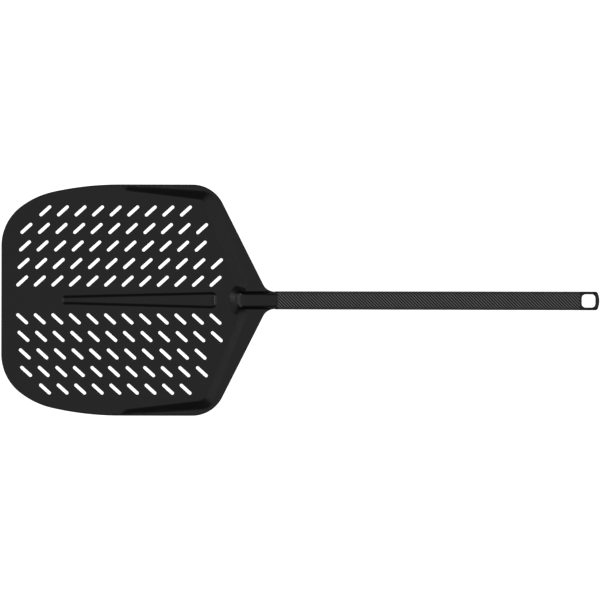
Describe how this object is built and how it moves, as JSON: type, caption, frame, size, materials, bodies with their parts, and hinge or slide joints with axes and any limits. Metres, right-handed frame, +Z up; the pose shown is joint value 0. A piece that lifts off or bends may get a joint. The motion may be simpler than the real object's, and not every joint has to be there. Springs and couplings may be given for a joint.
{
  "type": "pizza peel",
  "caption": "Perforated pizza peel: pressed anodised blade with slanted slots, a central rib and a raised rear land, on a slim carbon-fibre handle with a hanging eye.",
  "frame": {"origin": "under the middle of the whole peel, on the surface that it lies on", "axes": "+X along the handle from the blade's front edge towards the hanging eye, +Y across the blade, +Z up out of the dished face"},
  "size_m": [0.9204, 0.356, 0.0212],
  "materials": {
    "anodised_aluminium": "hard-anodised dark charcoal, satin",
    "boss_aluminium": "anodised with the blade, satin",
    "carbon_fibre": "2x2 twill carbon-fibre laminate in clear resin, satin",
    "black_nylon": "moulded glass-filled nylon, fine matt grain",
    "keeper_metal": "hard-anodised plate, satin",
    "black_steel": "black-oxide steel, fine satin",
    "insert_brass": "machined brass"
  },
  "bodies": {
    "root": {"blade": "anodised_aluminium", "weld_bosses": "boss_aluminium", "neck_connector": "black_nylon", "keeper_plate": "keeper_metal", "keeper_screws": "black_steel", "spigot_inserts": "insert_brass", "tube_screws": "black_steel", "handle_tube": "carbon_fibre", "end_cap": "black_nylon", "cap_insert": "insert_brass", "cap_screw": "black_steel"}
  },
  "joints": []
}
